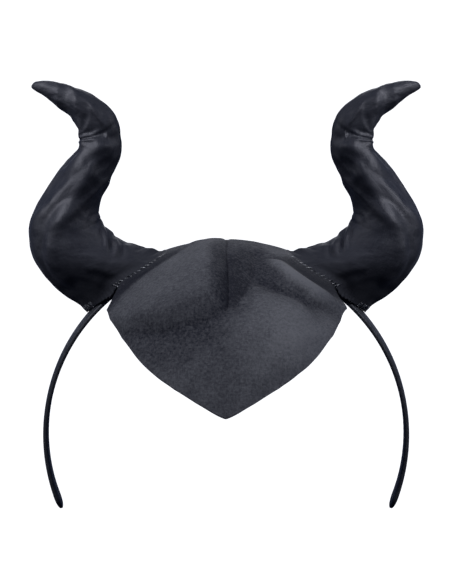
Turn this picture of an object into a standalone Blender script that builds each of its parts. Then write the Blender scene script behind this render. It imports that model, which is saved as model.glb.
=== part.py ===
"""Horned headpiece: a covered headband, a pointed forehead panel of felt and two stuffed satin horns.

Metres, +Z up. The wearer looks along -Y, and the wearer's left is +X.
The origin is the underside of the headband at its top, where it sits on the head.
Every piece is laid out in the leaning frame of the band, with angles from the crown of the head:
across runs towards the wearer's left ear, and fore runs down towards the forehead.
"""

from math import asin, cos, degrees, exp, hypot, pi, radians, sin, tan

import bmesh
import bpy
from mathutils import Vector

MM = 0.001

# The rounded head, hair included, that the headband and the panel lie on
HEAD_HALF_WIDTH = 75.0 * MM
HEAD_HALF_DEPTH = 76.0 * MM
HEAD_RISE = 77.0 * MM

# Gap that neighbouring pieces keep
SEAM_GAP = 0.3 * MM

# Headband
BAND_LEAN = radians(15.0)
BAND_WIDTH = 12.0 * MM
BAND_THICKNESS = 2.4 * MM
BAND_SWEEP = radians(114.0)
BAND_SQUARENESS = 3.2

# Forehead panel
PANEL_THICKNESS = 1.8 * MM
PANEL_REACH = 99.0 * MM
PANEL_TOP_HALF_WIDTH = 38.0 * MM
PANEL_CORNER_HALF_WIDTH = 50.5 * MM
PANEL_BACK_INSET = 0.6 * MM

# Horns: the seat is the place of the hem on the head, and the rest is the stuffed form above it
HORN_SPACING = 84.4 * MM
HORN_SEAT_BACK = 4.4 * MM
HORN_SEAT_SKEW = radians(9.0)
HORN_HEM_LENGTH = 41.2 * MM
HORN_HEM_WIDTH = 27.0 * MM
HORN_HEM_POINT = 0.65
HORN_REACH = 40.3 * MM
HORN_RISE = 83.2 * MM
HORN_HALF_DEPTH = 15.2 * MM
HORN_BOW = 3.0 * MM
HORN_STANDS_BACK = radians(7.0)
HORN_SEAM_PINCH = 0.12

# How far past the panel's edge a horn's underside starts to sink to the band, and where it is down
HORN_SINK_START = 3.0 * MM
HORN_SINK_END = 8.0 * MM

# How many rows of the sections' table the hem's outline and its pointed end fade over
HEM_FADE_ROWS = 2.6
POINT_FADE_ROWS = 4.0

# How far round a horn's seat the panel is held flat, as shares of the seat, and how far in front
# of the crown it may first sink, as shares of its own way back from there
FLAT_UNDER_HORN = (1.05, 1.35)
FLAT_OVER_BAND = (1.3, 2.4)

# Facets
BAND_LOOPS = 32
BAND_TIP_LOOPS = 4
BAND_SIDES = 10
PANEL_COLUMNS = 36
PANEL_ROWS = 20
HORN_SIDES = 24
HORN_LOOPS_PER_ROW = 3
HORN_FLOOR_RINGS = 4
SHARP_EDGE = radians(50.0)

# The panel's lower edge, from its point to its corner.
# across is a share of the corner's half width, and down a share of the reach to the point.
PANEL_LOWER_EDGE = (
    # across, down
    (0.000, 1.000),
    (0.220, 0.940),
    (0.410, 0.875),
    (0.550, 0.815),
    (0.700, 0.725),
    (0.850, 0.590),
    (0.945, 0.460),
    (1.000, 0.355),
)

# Folds of the panel. Each runs between two places, whose across and down are shares of the
# corner's half width and of the reach. Its width and height are shares of the reach, and a
# negative height goes in. Left and right are the wearer's.
PANEL_FOLDS = (
    # name, from_across, from_down, to_across, to_down, width, height
    ("dart puff", 0.00, 0.02, 0.00, 0.42, 0.085, 0.016),
    ("dart groove", 0.00, 0.00, 0.00, 0.50, 0.014, -0.012),
    ("right crease", -0.10, 0.53, -0.95, 0.48, 0.075, 0.014),
    ("right hem roll", -0.40, 0.19, -0.85, 0.30, 0.045, 0.010),
    ("left hollow", 0.18, 0.30, 0.42, 0.37, 0.080, -0.022),
    ("left valley", 0.08, 0.48, 0.66, 0.41, 0.045, -0.012),
    ("left hem roll", 0.36, 0.25, 0.86, 0.30, 0.040, 0.018),
    ("left swell", 0.30, 0.62, 0.74, 0.50, 0.110, 0.014),
)

# Sections of a horn from its hem to its tip. Its outer and inner edges are the two seams, which
# are its outline from the front. x is a share of the reach and z of the rise, both from the
# middle of the seat. depth is a share of the half depth, and bow a share of the forward bow.
HORN_SECTIONS = (
    # outer_x, outer_z, inner_x, inner_z, depth, bow
    (0.462, -0.139, -0.442, 0.108, 1.000, 0.00),
    (0.675, -0.072, -0.303, 0.135, 1.030, 0.10),
    (0.846, 0.020, -0.112, 0.171, 1.050, 0.22),
    (0.963, 0.115, 0.060, 0.208, 1.030, 0.35),
    (1.000, 0.217, 0.208, 0.274, 0.970, 0.50),
    (0.963, 0.321, 0.261, 0.331, 0.890, 0.65),
    (0.814, 0.456, 0.250, 0.389, 0.745, 0.85),
    (0.610, 0.593, 0.153, 0.492, 0.660, 1.00),
    (0.494, 0.664, 0.060, 0.612, 0.595, 1.00),
    (0.477, 0.705, 0.047, 0.716, 0.570, 0.90),
    (0.494, 0.746, 0.112, 0.829, 0.540, 0.70),
    (0.569, 0.809, 0.313, 0.918, 0.460, 0.35),
    (0.717, 0.868, 0.558, 0.970, 0.355, -0.05),
    (0.856, 0.918, 0.782, 1.000, 0.240, -0.50),
    (0.951, 0.944, 0.929, 0.996, 0.130, -0.85),
    (0.986, 0.958, 0.973, 0.985, 0.060, -0.95),
)

# Folds of the horn's satin. along and length are shares of the way from hem to tip, around and
# spread are degrees from the inner seam with 90 at the front, slant is degrees of turn over the
# whole way, and height is a share of the half depth, negative where the fold goes in.
HORN_FOLDS = (
    # name, along, around, length, spread, slant, height
    ("base pucker a", 0.17, 18.0, 0.022, 26.0, 500.0, -0.070),
    ("base pucker b", 0.23, 14.0, 0.020, 30.0, 400.0, -0.080),
    ("base pucker c", 0.29, 12.0, 0.020, 26.0, 300.0, -0.060),
    ("front furrow", 0.48, 118.0, 0.140, 15.0, -60.0, -0.050),
    ("front roll", 0.46, 92.0, 0.150, 16.0, -60.0, 0.045),
    ("neck crease a", 0.60, 160.0, 0.016, 42.0, 0.0, -0.085),
    ("neck crease b", 0.66, 168.0, 0.018, 40.0, 300.0, -0.060),
    ("neck crease c", 0.71, 172.0, 0.018, 36.0, 300.0, -0.045),
)


# What all the pieces share


def clear_scene():
    """Takes away whatever the file opened with."""
    for thing in list(bpy.data.objects):
        bpy.data.objects.remove(thing, do_unlink=True)


def smooth_step(low, high, value):
    """0 below low and 1 above high, with an easy rise between them."""
    share = min(1.0, max(0.0, (value - low) / (high - low)))
    return share * share * (3.0 - 2.0 * share)


def on_head(across, fore, height):
    """The point at two angles from the crown and a height above the head, in the band's frame."""
    x = (HEAD_HALF_WIDTH + height) * sin(across)
    y = -(HEAD_HALF_DEPTH + height) * cos(across) * sin(fore)
    z = (HEAD_RISE + height) * cos(across) * cos(fore) - HEAD_RISE
    return Vector((x, y, z))


def table_curve(rows, position):
    """A smooth curve through a table's rows of numbers, read at a position counted in rows."""
    last = len(rows) - 1
    index = min(int(position), last - 1)
    t = position - index
    before = rows[max(index - 1, 0)]
    after = rows[min(index + 2, last)]
    values = []
    for a, b, c, d in zip(before, rows[index], rows[index + 1], after):
        bend = (2.0 * a - 5.0 * b + 4.0 * c - d) * t * t
        twist = (3.0 * b - a - 3.0 * c + d) * t * t * t
        values.append(0.5 * (2.0 * b + (c - a) * t + bend + twist))
    return values


def make_material(name, colour, roughness, sheen):
    """A Principled material of one colour."""
    material = bpy.data.materials.new(name)
    material.use_nodes = True
    shader = material.node_tree.nodes["Principled BSDF"]
    shader.inputs["Base Color"].default_value = (*colour, 1.0)
    shader.inputs["Roughness"].default_value = roughness
    shader.inputs["Metallic"].default_value = 0.0
    shader.inputs["Sheen Weight"].default_value = sheen
    material.diffuse_color = (*colour, 1.0)
    return material


def add_object(name, form, material, parent):
    """Puts a finished bmesh into the scene as one named object on its parent."""
    bmesh.ops.recalc_face_normals(form, faces=form.faces)
    mesh = bpy.data.meshes.new(name)
    form.to_mesh(mesh)
    form.free()
    mesh.materials.append(material)
    mesh.shade_smooth()
    mesh.set_sharp_from_angle(angle=SHARP_EDGE)
    thing = bpy.data.objects.new(name, mesh)
    bpy.context.scene.collection.objects.link(thing)
    thing.parent = parent


def join_loops(form, loops):
    """Skins a run of closed loops of points and returns their rings of corners."""
    rings = [[form.verts.new(point) for point in loop] for loop in loops]
    for lower, upper in zip(rings, rings[1:]):
        for i in range(len(lower)):
            j = (i + 1) % len(lower)
            form.faces.new((lower[i], lower[j], upper[j], upper[i]))
    return rings


def ring_centre(ring):
    """The mean of a ring's corners."""
    return sum((corner.co for corner in ring), Vector()) / len(ring)


def close_ring(form, ring, centre):
    """Closes a ring of corners with a fan to one point."""
    middle = form.verts.new(centre)
    for i, corner in enumerate(ring):
        form.faces.new((corner, ring[(i + 1) % len(ring)], middle))


# Headband


def band_section(width):
    """The band's rounded section, as pairs of how far along Y and how high above the head."""
    power = 2.0 / BAND_SQUARENESS
    points = []
    for i in range(BAND_SIDES):
        turn = 2.0 * pi * (i + 0.5) / BAND_SIDES
        side = abs(cos(turn)) ** power * (1.0 if cos(turn) > 0.0 else -1.0)
        rise = abs(sin(turn)) ** power * (1.0 if sin(turn) > 0.0 else -1.0)
        points.append((0.5 * width * side, 0.5 * BAND_THICKNESS * (1.0 + rise)))
    return points


def build_headband(parent, material):
    """A strip bent over the head in one leaning plane, with rounded tips behind the ears."""
    tip_turn = 0.5 * BAND_WIDTH / HEAD_RISE
    tip_start = BAND_SWEEP - tip_turn
    tip = []
    for i in range(1, BAND_TIP_LOOPS + 1):
        corner = 0.5 * pi * i / (BAND_TIP_LOOPS + 0.5)
        tip.append((tip_start + tip_turn * sin(corner), BAND_WIDTH * cos(corner)))
    stations = [(-turn, width) for turn, width in reversed(tip)]
    for i in range(BAND_LOOPS + 1):
        stations.append((tip_start * (2.0 * i / BAND_LOOPS - 1.0), BAND_WIDTH))
    stations += tip
    loops = []
    for turn, width in stations:
        section = band_section(width)
        loops.append([on_head(turn, 0.0, rise) + Vector((0.0, side, 0.0)) for side, rise in section])
    form = bmesh.new()
    rings = join_loops(form, loops)
    for ring in (rings[0], rings[-1]):
        close_ring(form, ring, ring_centre(ring))
    add_object("headband", form, material, parent)


# Heights above the head that the layers lie at


def band_top():
    """What lies on the band, the panel or a horn, has its underside here."""
    return BAND_THICKNESS + SEAM_GAP


def panel_top():
    """A horn that lies on the panel has its underside here."""
    return band_top() + PANEL_THICKNESS + SEAM_GAP


# Places on the head


def panel_angles():
    """The panel's sizes as angles: its back edge, top and corner half widths, and reach."""
    across_size = HEAD_HALF_WIDTH + band_top()
    fore_size = HEAD_HALF_DEPTH + band_top()
    back = -(0.5 * BAND_WIDTH - PANEL_BACK_INSET) / fore_size
    top = PANEL_TOP_HALF_WIDTH / across_size
    corner = PANEL_CORNER_HALF_WIDTH / across_size
    return back, top, corner, PANEL_REACH / fore_size


def lower_edge(across):
    """How far down the panel's lower edge lies, at a share of the corner's half width."""
    size = abs(across)
    for index in range(len(PANEL_LOWER_EDGE) - 1):
        low = PANEL_LOWER_EDGE[index][0]
        high = PANEL_LOWER_EDGE[index + 1][0]
        if size <= high:
            return table_curve(PANEL_LOWER_EDGE, index + (size - low) / (high - low))[1]
    return PANEL_LOWER_EDGE[-1][1]


def horn_seat():
    """The middle of a horn's seat and its half length and half width, all as angles."""
    size = HEAD_HALF_WIDTH + band_top()
    across = asin(0.5 * HORN_SPACING / size)
    fore_size = (HEAD_HALF_DEPTH + band_top()) * cos(across)
    half_length = 0.5 * HORN_HEM_LENGTH / size
    return across, -HORN_SEAT_BACK / fore_size, half_length, 0.5 * HORN_HEM_WIDTH / fore_size


# Forehead panel


def distance_to_fold(across, fore, start, end):
    """How far a place on the head is from the line between two others."""
    run_x, run_y = end[0] - start[0], end[1] - start[1]
    off_x, off_y = across - start[0], fore - start[1]
    share = (off_x * run_x + off_y * run_y) / (run_x * run_x + run_y * run_y)
    share = min(1.0, max(0.0, share))
    return HEAD_HALF_DEPTH * hypot(off_x - share * run_x, off_y - share * run_y)


def panel_fold(across, fore):
    """How far the folds lift the panel, which stays flat on the band and under the horns."""
    back, _, corner, reach = panel_angles()
    lift = 0.0
    for _, from_across, from_down, to_across, to_down, width, height in PANEL_FOLDS:
        start = (from_across * corner, from_down * reach)
        end = (to_across * corner, to_down * reach)
        away = distance_to_fold(across, fore, start, end)
        lift += height * PANEL_REACH * exp(-((away / (width * PANEL_REACH)) ** 2))
    seat_across, seat_fore, half_length, half_width = horn_seat()
    ring = hypot((abs(across) - seat_across) / half_length, (fore - seat_fore) / half_width)
    lift *= smooth_step(*FLAT_UNDER_HORN, ring)
    if lift < 0.0:
        lift *= smooth_step(*FLAT_OVER_BAND, -fore / back)
    return lift


def panel_place(row, column):
    """The two angles of a corner of the panel's grid."""
    back, top, corner, reach = panel_angles()
    down = row / PANEL_ROWS
    signed = 2.0 * column / PANEL_COLUMNS - 1.0
    across = signed * (top + (corner - top) * down)
    fore = back + (lower_edge(signed) * reach - back) * down
    return across, fore


def build_front_panel(parent, material):
    """One cut of felt from the back edge of the band to its point on the forehead."""
    form = bmesh.new()
    sheets = []
    for height in (0.0, PANEL_THICKNESS):
        sheet = {}
        for row in range(PANEL_ROWS + 1):
            for column in range(PANEL_COLUMNS + 1):
                across, fore = panel_place(row, column)
                lift = band_top() + panel_fold(across, fore) + height
                sheet[row, column] = form.verts.new(on_head(across, fore, lift))
        for row in range(PANEL_ROWS):
            for column in range(PANEL_COLUMNS):
                around = ((row, column), (row, column + 1), (row + 1, column + 1), (row + 1, column))
                form.faces.new([sheet[place] for place in around])
        sheets.append(sheet)
    under, upper = sheets
    rim = [(0, column) for column in range(PANEL_COLUMNS)]
    rim += [(row, PANEL_COLUMNS) for row in range(PANEL_ROWS)]
    rim += [(PANEL_ROWS, column) for column in range(PANEL_COLUMNS, 0, -1)]
    rim += [(row, 0) for row in range(PANEL_ROWS, 0, -1)]
    for here, there in zip(rim, rim[1:] + rim[:1]):
        form.faces.new((under[here], under[there], upper[there], upper[here]))
    add_object("front_panel", form, material, parent)


# Horns


def horn_floor(across, fore):
    """The height of a horn's underside: over the panel and just past it, and sunk to the band beyond."""
    back, top, corner, reach = panel_angles()
    down = (fore - back) / (lower_edge(1.0) * reach - back)
    beside = across - (top + (corner - top) * down)
    away = HEAD_HALF_DEPTH * max(beside, back - fore)
    sunk = smooth_step(HORN_SINK_START, HORN_SINK_END, away)
    return panel_top() + (band_top() - panel_top()) * sunk


def hem_point(turn, share):
    """A point of a horn's underside. share is 1 on the hem and 0 in the middle of the seat."""
    across, fore, half_length, half_width = horn_seat()
    point = abs(sin(turn)) ** HORN_HEM_POINT if cos(turn) > 0.0 else 1.0
    inwards = half_length * cos(turn) * share
    across -= inwards
    fore += half_width * sin(turn) * point * share + inwards * tan(HORN_SEAT_SKEW)
    return on_head(across, fore, horn_floor(across, fore))


def satin_fold(along, turn):
    """How far the folds of the satin push a horn's surface out, or pull it in."""
    lift = 0.0
    for _, at, around, length, spread, slant, height in HORN_FOLDS:
        centre = around + slant * (along - at)
        off = (degrees(turn) - centre + 180.0) % 360.0 - 180.0
        lift += height * exp(-(((along - at) / length) ** 2) - (off / spread) ** 2)
    return lift * HORN_HALF_DEPTH


def horn_section(position):
    """One closed section of a horn about the middle of its seat, from the inner seam round by the front."""
    outer_x, outer_z, inner_x, inner_z, depth, bow = table_curve(HORN_SECTIONS, position)
    along = position / (len(HORN_SECTIONS) - 1)
    up = Vector((0.0, sin(HORN_STANDS_BACK), cos(HORN_STANDS_BACK)))
    front = Vector((0.0, -cos(HORN_STANDS_BACK), sin(HORN_STANDS_BACK)))
    outer = Vector((outer_x * HORN_REACH, 0.0, 0.0)) + up * (outer_z * HORN_RISE)
    inner = Vector((inner_x * HORN_REACH, 0.0, 0.0)) + up * (inner_z * HORN_RISE)
    middle = 0.5 * (outer + inner) + front * (bow * HORN_BOW)
    point = HORN_HEM_POINT * (1.0 - smooth_step(0.0, POINT_FADE_ROWS, position))
    loop = []
    for i in range(HORN_SIDES):
        turn = 2.0 * pi * i / HORN_SIDES
        pinch = HORN_SEAM_PINCH + point * max(0.0, cos(turn))
        swell = depth * HORN_HALF_DEPTH * sin(turn) * abs(sin(turn)) ** pinch
        spoke = 0.5 * (inner - outer) * cos(turn) + front * swell
        loop.append(middle + spoke + spoke.normalized() * satin_fold(along, turn))
    return loop


def build_horn(name, side, parent, material):
    """A stuffed horn: a floor inside its hem, and sections lofted from the hem up to the tip."""
    across, fore, _, _ = horn_seat()
    seat = on_head(across, fore, band_top())
    turns = [2.0 * pi * i / HORN_SIDES for i in range(HORN_SIDES)]
    hem = [hem_point(turn, 1.0) for turn in turns]
    first = [seat + point for point in horn_section(0.0)]
    loops = []
    for ring in range(1, HORN_FLOOR_RINGS):
        loops.append([hem_point(turn, ring / HORN_FLOOR_RINGS) for turn in turns])
    for step in range((len(HORN_SECTIONS) - 1) * HORN_LOOPS_PER_ROW + 1):
        position = step / HORN_LOOPS_PER_ROW
        pull = 1.0 - smooth_step(0.0, HEM_FADE_ROWS, position)
        section = horn_section(position)
        loops.append([seat + p + (h - f) * pull for p, h, f in zip(section, hem, first)])
    form = bmesh.new()
    rings = join_loops(form, loops)
    close_ring(form, rings[0], hem_point(0.0, 0.0))
    tip = ring_centre(rings[-1])
    close_ring(form, rings[-1], tip + 0.5 * (tip - ring_centre(rings[-2])))
    for corner in form.verts:
        corner.co.x *= side
    add_object(name, form, material, parent)


def main():
    clear_scene()
    frame = bpy.data.objects.new("band_frame", None)
    bpy.context.scene.collection.objects.link(frame)
    frame.rotation_euler = (BAND_LEAN, 0.0, 0.0)
    build_headband(frame, make_material("band_satin", (0.010, 0.011, 0.014), 0.50, 0.2))
    build_front_panel(frame, make_material("charcoal_felt", (0.032, 0.036, 0.043), 0.92, 0.5))
    horn_satin = make_material("black_satin", (0.012, 0.014, 0.018), 0.42, 0.3)
    build_horn("horn_left", 1.0, frame, horn_satin)
    build_horn("horn_right", -1.0, frame, horn_satin)
    bpy.context.view_layer.update()


main()
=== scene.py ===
"""Horned headpiece: satin-covered band, pointed felt forehead panel and two stuffed satin horns."""

import bmesh
import bpy
import numpy as np
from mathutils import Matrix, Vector
from mathutils.geometry import delaunay_2d_cdt


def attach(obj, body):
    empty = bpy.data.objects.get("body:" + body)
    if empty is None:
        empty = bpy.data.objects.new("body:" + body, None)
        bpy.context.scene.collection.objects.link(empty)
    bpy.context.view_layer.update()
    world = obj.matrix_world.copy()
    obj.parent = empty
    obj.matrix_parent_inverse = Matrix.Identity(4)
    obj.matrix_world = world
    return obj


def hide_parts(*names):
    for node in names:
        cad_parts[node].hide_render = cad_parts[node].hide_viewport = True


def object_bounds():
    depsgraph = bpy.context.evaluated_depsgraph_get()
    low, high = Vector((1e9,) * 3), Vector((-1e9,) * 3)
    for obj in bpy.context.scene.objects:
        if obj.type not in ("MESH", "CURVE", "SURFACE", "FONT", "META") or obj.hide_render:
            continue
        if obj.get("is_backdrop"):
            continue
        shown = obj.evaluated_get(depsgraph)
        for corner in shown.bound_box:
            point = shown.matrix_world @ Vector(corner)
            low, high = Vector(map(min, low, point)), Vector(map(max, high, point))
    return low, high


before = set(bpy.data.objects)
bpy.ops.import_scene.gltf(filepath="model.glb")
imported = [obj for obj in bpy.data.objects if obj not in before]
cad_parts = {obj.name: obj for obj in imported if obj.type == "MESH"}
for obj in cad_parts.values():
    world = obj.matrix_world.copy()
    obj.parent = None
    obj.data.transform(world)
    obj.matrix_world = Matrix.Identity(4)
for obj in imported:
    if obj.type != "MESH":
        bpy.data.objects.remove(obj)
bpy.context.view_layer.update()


# Headband
# A springy strip inside a narrow tube of black satin, bent over the head in one leaning plane.
# The tube is closed by a seam along its inner face and gathered at the two rounded tips.

MM = 0.001
FULL_TURN = 2.0 * np.pi
HEAD = np.array((75.0, 76.0, 77.0)) * MM
BAND_LEAN = np.radians(15.0)
BAND_WIDTH = 12.0 * MM
BAND_THICKNESS = 2.4 * MM
BAND_SWEEP = np.radians(114.0)
BAND_SQUARENESS = 3.2
BAND_RUNS = 260
BAND_SIDES = 48
BAND_TIP = 6.0 * MM
BAND_TIP_STEPS = 15
BAND_TIP_THINNING = 0.6
GATHER_REACH = 9.0 * MM
GATHERS_AROUND = 11
GATHER_DEPTH = 0.13 * MM
SEAM_STITCH = 2.6 * MM
RIPPLE_SLOWEST = 0.35
SATIN_ROUGHNESS = 0.48
SATIN_DULLING = 0.28
COOL_TINT = (0.86, 0.87, 1.0, 1.0)

# The seam's groove and the puckers beside it: how wide and how deep
SEAM_GROOVE = (0.6 * MM, 0.30 * MM)
SEAM_PUCKER = (2.6 * MM, 0.05 * MM)

# The darkest and the palest of its threads
BAND_SHADES = ((0.0075, 0.0085, 0.0110), (0.0155, 0.0175, 0.0220))


def on_head(across, fore, height):
    """The head's half ellipsoid grown by a height, read at two angles from its crown, which lies at 0."""
    wide, deep, tall = (size + height for size in HEAD)
    x = wide * np.sin(across)
    y = -deep * np.cos(across) * np.sin(fore)
    z = tall * np.cos(across) * np.cos(fore) - HEAD[2]
    return np.stack(np.broadcast_arrays(x, y, z), axis=-1)


def leaning(points):
    """The points turned about X by the band's lean, so that the crown tips forward."""
    x, y, z = np.moveaxis(points, -1, 0)
    cosine, sine = np.cos(BAND_LEAN), np.sin(BAND_LEAN)
    return np.stack((x, y * cosine - z * sine, y * sine + z * cosine), axis=-1)


def grid_faces(rows, columns, around):
    """The corner numbers of a grid's squares, whose last column meets its first where around is True."""
    index = np.arange(rows * columns).reshape(rows, columns)
    if around:
        index = np.concatenate((index, index[:, :1]), axis=1)
    corners = (index[:-1, :-1], index[:-1, 1:], index[1:, 1:], index[1:, :-1])
    return np.stack(corners, axis=-1).reshape(-1, 4)


def placed(name, data):
    """A new object of that data, in the scene."""
    thing = bpy.data.objects.new(name, data)
    bpy.context.scene.collection.objects.link(thing)
    return thing


def make_piece(name, points, faces, finish, cloth=None, closed=True):
    """One smooth object of points in the band's frame, faces and a finish. cloth is its UV, in metres."""
    mesh = bpy.data.meshes.new(name)
    mesh.from_pydata(leaning(points.reshape(-1, 3)).tolist(), [], faces.tolist())
    if cloth is not None:
        corners = np.zeros(len(mesh.loops), dtype=int)
        mesh.loops.foreach_get("vertex_index", corners)
        layer = mesh.uv_layers.new(name="cloth")
        layer.uv.foreach_set("vector", cloth.reshape(-1, 2)[corners].ravel())
    form = bmesh.new()
    form.from_mesh(mesh)
    bmesh.ops.remove_doubles(form, verts=form.verts, dist=1e-6)
    if closed:
        bmesh.ops.recalc_face_normals(form, faces=form.faces)
    form.to_mesh(mesh)
    form.free()
    mesh.materials.append(finish)
    mesh.shade_smooth()
    piece = placed(name, mesh)
    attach(piece, "root")
    return piece


def smooth_step(low, high, value):
    """0 below low and 1 above high, with an easy rise between them."""
    share = np.clip((value - low) / (high - low), 0.0, 1.0)
    return share * share * (3.0 - 2.0 * share)


def ripple(seed, kind, *places):
    """Smooth unevenness: sine waves of random direction, length and start, added up and divided by the root
    of twice their number. kind is how much, how many waves, and the finest in radians a metre."""
    much, count, finest = kind
    draw = np.random.default_rng(seed)
    total = 0.0
    for _ in range(count):
        pace = draw.normal(size=len(places))
        pace *= finest * draw.uniform(RIPPLE_SLOWEST, 1.0) / np.linalg.norm(pace)
        start = draw.uniform(0.0, FULL_TURN)
        total = total + np.sin(sum(p * q for p, q in zip(places, pace)) + start)
    return much * total / np.sqrt(2.0 * count)


class Field:
    """A number, colour or vector that varies over a piece. Python's operators on it add Math nodes."""

    def __init__(self, finish, socket):
        self.finish, self.socket = finish, socket

    def math(self, operation, *values):
        """A Math node of that operation, on this field and the values."""
        inputs = dict(enumerate((self, *values)))
        return self.finish.node("ShaderNodeMath", {"operation": operation}, inputs)

    def __add__(self, other):
        return self.math("ADD", other)

    def __sub__(self, other):
        return self.math("SUBTRACT", other)

    def __rsub__(self, other):
        return (self - other) * -1.0

    def __mul__(self, other):
        return self.math("MULTIPLY", other)

    __radd__ = __add__
    __rmul__ = __mul__


class Finish:
    """A Principled material: constants go on its sockets, and fields vary it over a piece."""

    def __init__(self, name, **constants):
        self.material = bpy.data.materials.new(name)
        self.material.use_nodes = True
        self.tree = self.material.node_tree
        self.shader = self.tree.nodes["Principled BSDF"]
        for socket, value in constants.items():
            self.shader.inputs[socket.replace("_", " ")].default_value = value

    def node(self, kind, settings, inputs, output=0):
        """A node of that type, with its settings made first and then the values or links of its sockets."""
        made = self.tree.nodes.new(kind)
        for key, value in settings.items():
            if key == "stops":
                ramp = made.color_ramp
                while len(ramp.elements) < len(value):
                    ramp.elements.new(0.5)
                for stop, (place, level) in zip(ramp.elements, value):
                    stop.position, stop.color = place, (level, level, level, 1.0)
            else:
                setattr(made, key, value)
        for key, value in inputs.items():
            if isinstance(value, Field):
                self.tree.links.new(value.socket, made.inputs[key])
            else:
                made.inputs[key].default_value = value
        return Field(self, made.outputs[output])

    def place(self, kind="Object", stretch=(1.0, 1.0, 1.0), turn=(0.0, 0.0, 0.0)):
        """The place on the piece, in metres: Object, or UV along the cloth, turned and stretched."""
        where = self.node("ShaderNodeTexCoord", {}, {}, output=kind)
        return self.node("ShaderNodeMapping", {}, {"Vector": where, "Scale": stretch, "Rotation": turn})

    def noise(self, where, scale, detail=3.0, roughness=0.55):
        """Uneven patches from 0 to 1, scale of them to a metre."""
        inputs = {"Vector": where, "Scale": scale, "Detail": detail, "Roughness": roughness}
        return self.node("ShaderNodeTexNoise", {}, inputs)

    def ramp(self, value, *stops):
        """A value passed through stops of place and level."""
        return self.node("ShaderNodeValToRGB", {"stops": stops}, {"Fac": value})

    def mix(self, share, one, other):
        """A colour between two others."""
        inputs = {0: share, 6: (*one, 1.0) if isinstance(one, tuple) else one}
        inputs[7] = (*other, 1.0) if isinstance(other, tuple) else other
        return self.node("ShaderNodeMix", {"data_type": "RGBA"}, inputs, output=2)

    def wire(self, **fields):
        """Joins fields to the shader's sockets."""
        for socket, field in fields.items():
            self.tree.links.new(field.socket, self.shader.inputs[socket.replace("_", " ")])

    def relief(self, height, distance, below=None):
        """A bump whose heights from 0 to 1 span a distance in metres, on top of another bump."""
        inputs = {"Height": height, "Distance": distance}
        if below is not None:
            inputs["Normal"] = below
        return self.node("ShaderNodeBump", {}, inputs)


def satin_finish(name, shades, hem_shade_reach=0.0):
    """Black satin: fine threads along the cloth, uneven gloss, and small crumples in the bump. Up to a reach
    in metres from its hem, shade is painted into its colour and it is rougher."""
    sheen = {"Sheen_Weight": 0.04, "Sheen_Roughness": 0.4, "Sheen_Tint": COOL_TINT}
    finish = Finish(name, Specular_Tint=COOL_TINT, **sheen)
    cloth = finish.place("UV")
    threads = finish.noise(finish.place("UV", stretch=(1.0, 0.07, 1.0)), 3600.0, detail=2.0)
    cross = finish.noise(finish.place("UV", stretch=(0.3, 1.0, 1.0)), 3000.0, detail=1.0)
    mottle = finish.noise(cloth, 260.0, detail=4.0, roughness=0.6)
    drift = finish.noise(finish.place(), 55.0, detail=2.0)
    fine = finish.noise(cloth, 950.0, detail=2.0)
    shade = finish.ramp(threads * 0.33 + mottle * 0.28 + fine * 0.22 + drift * 0.25, (0.38, 0.0), (0.74, 1.0))
    rough = SATIN_ROUGHNESS + mottle * 0.10 + threads * 0.06
    if hem_shade_reach:
        # Painted shade: the colour darkens towards the hem, and the satin grows rougher there.
        from_hem = finish.node("ShaderNodeSeparateXYZ", {}, {"Vector": cloth}, output=1) * (1.0 / hem_shade_reach)
        beyond_hem_shade = finish.ramp(from_hem, (0.15, 0.0), (1.0, 1.0))
        shade, rough = shade * beyond_hem_shade, rough + SATIN_DULLING * (1.0 - beyond_hem_shade)
    finish.wire(Base_Color=finish.mix(shade, *shades), Roughness=rough)
    crumple = finish.relief(finish.noise(cloth, 170.0, detail=3.0, roughness=0.5), 0.00045)
    finish.wire(Normal=finish.relief(threads * 0.7 + cross * 0.3, 0.00006, below=crumple))
    return finish.material


def band_section(width, thick):
    """A rounded oblong as turns, places along Y and heights above the head: powers of a cosine and a sine."""
    turn = FULL_TURN * (np.arange(BAND_SIDES) + 0.5) / BAND_SIDES
    power = 2.0 / BAND_SQUARENESS
    side = np.sign(np.cos(turn)) * np.abs(np.cos(turn)) ** power
    rise = np.sign(np.sin(turn)) * np.abs(np.sin(turn)) ** power
    return turn, 0.5 * width * side, 0.5 * BAND_THICKNESS * (1.0 + rise * thick)


def band_points():
    """The oblong carried over the head from ear to ear, narrowed to a half circle and gathered at each tip.
    Its UV is the way round it and along it."""
    ends = BAND_TIP / HEAD[2]
    start = BAND_SWEEP - ends
    corner = np.linspace(0.0, 0.5 * np.pi, BAND_TIP_STEPS)[1:]
    tip = start + ends * np.sin(corner)
    run = np.linspace(-start, start, BAND_RUNS)
    sweep = np.concatenate((-tip[::-1], run, tip))
    narrow = np.concatenate((np.cos(corner)[::-1], np.ones(BAND_RUNS), np.cos(corner)))
    narrow = np.clip(narrow, 0.0, 1.0)[:, None]
    turn, side, rise = band_section(BAND_WIDTH * narrow, narrow**BAND_TIP_THINNING)
    along = sweep[:, None] * HEAD[2]
    from_tip = BAND_SWEEP * HEAD[2] - np.abs(along)
    near_tip = np.exp(-((from_tip / GATHER_REACH) ** 2)) * narrow
    rise = rise - GATHER_DEPTH * near_tip * np.sin(GATHERS_AROUND * turn)
    inside = (np.sin(turn) < 0.0) * narrow
    groove, pucker = (
        inside * depth * np.exp(-((side / width) ** 2)) for width, depth in (SEAM_GROOVE, SEAM_PUCKER)
    )
    rise = rise + groove + pucker * np.sin(FULL_TURN * along / SEAM_STITCH)
    points = on_head(sweep[:, None], 0.0, rise)
    points[..., 1] += side
    cloth = np.stack(np.broadcast_arrays(turn * 0.5 * BAND_WIDTH / np.pi, along), axis=-1)
    return points, cloth


band_satin = satin_finish("band_satin", BAND_SHADES)
points, cloth = band_points()
faces = grid_faces(*points.shape[:2], around=True)
headband = make_piece("headband_cover", points, faces, band_satin, cloth)
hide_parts("headband")


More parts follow.
